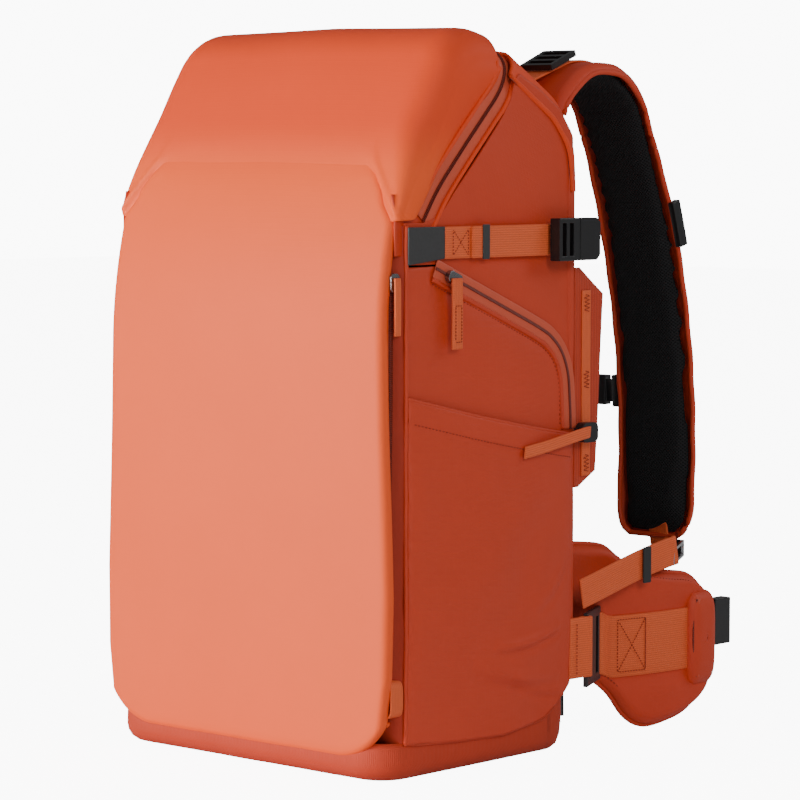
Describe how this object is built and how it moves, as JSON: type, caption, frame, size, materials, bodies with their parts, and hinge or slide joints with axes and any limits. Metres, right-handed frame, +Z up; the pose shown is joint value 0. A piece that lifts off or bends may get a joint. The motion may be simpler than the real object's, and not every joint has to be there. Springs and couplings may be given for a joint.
{
  "type": "daypack",
  "caption": "Orange hiking and camera daypack with a fold-open lid, side door, zipped front panel, padded harness and hip belt.",
  "frame": {"origin": "centre of the flat base that the pack stands on", "axes": "+Z up from the base to the lid, -Y towards the front panel, +Y towards the wearer, +X towards the side with the zipped door"},
  "size_m": [0.34, 0.462, 0.58],
  "materials": {
    "front_fabric": "coated satin weave",
    "lid_fabric": "coated satin weave",
    "side_fabric": "coated satin weave",
    "gusset_fabric": "matt weave",
    "base_fabric": "twill",
    "lining": "matt weave",
    "strap_fabric": "coated satin weave",
    "back_mesh": "stretch mesh",
    "pad_mesh": "spacer mesh",
    "zip_tape": "coil zip tape",
    "webbing": "ribbed webbing",
    "ribbed_webbing": "ribbed webbing",
    "elastic": "woven elastic",
    "rubber_tab": "matt",
    "black_plastic": "fine grain",
    "hook_plastic": "fine grain",
    "frame_plastic": "smooth",
    "gunmetal": "dark plated",
    "stay_metal": "extruded"
  },
  "bodies": {
    "pack": {"base_panel": "base_fabric", "front_panel": "front_fabric", "front_wall": "lining", "front_gussets": "gusset_fabric", "front_zip_chains": "zip_tape", "side_panel_right": "side_fabric", "side_panel_left": "side_fabric", "back_panel": "back_mesh", "yoke": "lid_fabric", "frame_sheet": "frame_plastic", "frame_stays": "stay_metal", "back_pads": "pad_mesh", "body_zip_tape": "zip_tape", "bottle_pocket_left": "side_fabric", "cinch_left": "black_plastic", "strap_tabs": "rubber_tab", "compression_straps": "webbing", "sewn_webbing": "webbing", "side_wings": "ribbed_webbing", "compression_sockets": "black_plastic"},
    "lid": {"lid_shell": "lid_fabric", "lid_zip_tape": "zip_tape"},
    "side_door": {"side_door": "side_fabric", "door_zip": "zip_tape", "bottle_pocket_right": "side_fabric", "cinch_right": "black_plastic"},
    "door_slider": {"door_slider": "gunmetal"},
    "door_pull": {"door_pull": "webbing"},
    "grab_handle": {"grab_handle": "webbing"},
    "lid_slider_right": {"lid_slider_right": "gunmetal"},
    "lid_pull_right": {"lid_pull_right": "webbing"},
    "front_slider_right": {"front_slider_right": "gunmetal"},
    "front_pull_right": {"front_pull_right": "webbing"},
    "compression_clip_right": {"compression_clip_right": "black_plastic"},
    "shoulder_strap_right": {"strap_pad_right": "pad_mesh", "strap_shell_right": "strap_fabric", "strap_webbing_right": "webbing", "strap_hardware_right": "black_plastic", "metal_hook_right": "gunmetal"},
    "hip_wing_right": {"hip_fin_right": "strap_fabric", "hip_webbing_right": "webbing", "belt_hook_right": "hook_plastic", "hip_socket_right": "black_plastic"},
    "lid_slider_left": {"lid_slider_left": "gunmetal"},
    "lid_pull_left": {"lid_pull_left": "webbing"},
    "front_slider_left": {"front_slider_left": "gunmetal"},
    "front_pull_left": {"front_pull_left": "webbing"},
    "compression_clip_left": {"compression_clip_left": "black_plastic"},
    "shoulder_strap_left": {"strap_pad_left": "pad_mesh", "strap_shell_left": "strap_fabric", "strap_webbing_left": "webbing", "strap_hardware_left": "black_plastic", "metal_hook_left": "gunmetal"},
    "hip_wing_left": {"hip_fin_left": "strap_fabric", "hip_webbing_left": "webbing", "belt_hook_left": "hook_plastic", "hip_plug_left": "black_plastic"},
    "sternum_right": {"sternum_socket_right": "black_plastic"},
    "sternum_left": {"sternum_plug_left": "black_plastic"}
  },
  "joints": [
    {"name": "lid_fold", "type": "hinge", "parent": "pack", "child": "lid", "pos_m": [0, -0.1055, 0.432], "axis": [1, 0, 0], "range_deg": [0, 105]},
    {"name": "door_fold", "type": "hinge", "parent": "pack", "child": "side_door", "pos_m": [0.154, -0.0935, 0.2], "axis": [0, 0, -1], "range_deg": [0, 60]},
    {"name": "door_zip_run", "type": "slide", "parent": "side_door", "child": "door_slider", "axis": [0, 0.9285, -0.3714], "range_m": [0, 0.1]},
    {"name": "door_pull_swing", "type": "hinge", "parent": "door_slider", "child": "door_pull", "pos_m": [0.1632, -0.0445, 0.388], "axis": [0, -1, 0], "range_deg": [0, 80]},
    {"name": "handle_swing", "type": "hinge", "parent": "pack", "child": "grab_handle", "pos_m": [0, 0.08168, 0.5446], "axis": [1, 0, 0], "range_deg": [-45, 40]},
    {"name": "lid_zip_run_right", "type": "slide", "parent": "pack", "child": "lid_slider_right", "axis": [1, 0, 0], "range_m": [0, 0.11]},
    {"name": "lid_pull_swing_right", "type": "hinge", "parent": "lid_slider_right", "child": "lid_pull_right", "pos_m": [0.01, 0.03976, 0.56914], "axis": [1, 0, 0], "range_deg": [0, 100]},
    {"name": "front_zip_run_right", "type": "slide", "parent": "pack", "child": "front_slider_right", "axis": [0, 0, 1], "range_m": [-0.24, 0]},
    {"name": "front_pull_swing_right", "type": "hinge", "parent": "front_slider_right", "child": "front_pull_right", "pos_m": [0.1534, -0.103, 0.386], "axis": [0, -1, 0], "range_deg": [0, 80]},
    {"name": "compression_release_right", "type": "slide", "parent": "pack", "child": "compression_clip_right", "axis": [0, -1, 0], "range_m": [0, 0.022]},
    {"name": "strap_swing_right", "type": "hinge", "parent": "pack", "child": "shoulder_strap_right", "pos_m": [0.08, 0.1215, 0.5], "axis": [0.189, 0, -0.982], "range_deg": [-4, 12]},
    {"name": "sternum_height_right", "type": "slide", "parent": "shoulder_strap_right", "child": "sternum_right", "axis": [0, -0.0733, 0.9973], "range_m": [-0.015, 0.015]},
    {"name": "hip_wrap_right", "type": "hinge", "parent": "pack", "child": "hip_wing_right", "pos_m": [0.106, 0.1345, 0.08], "axis": [0, 0, 1], "range_deg": [0, 30]},
    {"name": "lid_zip_run_left", "type": "slide", "parent": "pack", "child": "lid_slider_left", "axis": [-1, 0, 0], "range_m": [0, 0.11]},
    {"name": "lid_pull_swing_left", "type": "hinge", "parent": "lid_slider_left", "child": "lid_pull_left", "pos_m": [-0.01, 0.03976, 0.56914], "axis": [1, 0, 0], "range_deg": [0, 100]},
    {"name": "front_zip_run_left", "type": "slide", "parent": "pack", "child": "front_slider_left", "axis": [0, 0, 1], "range_m": [-0.24, 0]},
    {"name": "front_pull_swing_left", "type": "hinge", "parent": "front_slider_left", "child": "front_pull_left", "pos_m": [-0.1534, -0.103, 0.386], "axis": [0, 1, 0], "range_deg": [0, 80]},
    {"name": "compression_release_left", "type": "slide", "parent": "pack", "child": "compression_clip_left", "axis": [0, -1, 0], "range_m": [0, 0.022]},
    {"name": "strap_swing_left", "type": "hinge", "parent": "pack", "child": "shoulder_strap_left", "pos_m": [-0.08, 0.1215, 0.5], "axis": [0.189, 0, 0.982], "range_deg": [-4, 12]},
    {"name": "sternum_height_left", "type": "slide", "parent": "shoulder_strap_left", "child": "sternum_left", "axis": [0, -0.0733, 0.9973], "range_m": [-0.015, 0.015]},
    {"name": "hip_wrap_left", "type": "hinge", "parent": "pack", "child": "hip_wing_left", "pos_m": [-0.106, 0.1345, 0.08], "axis": [0, 0, -1], "range_deg": [0, 30]}
  ]
}
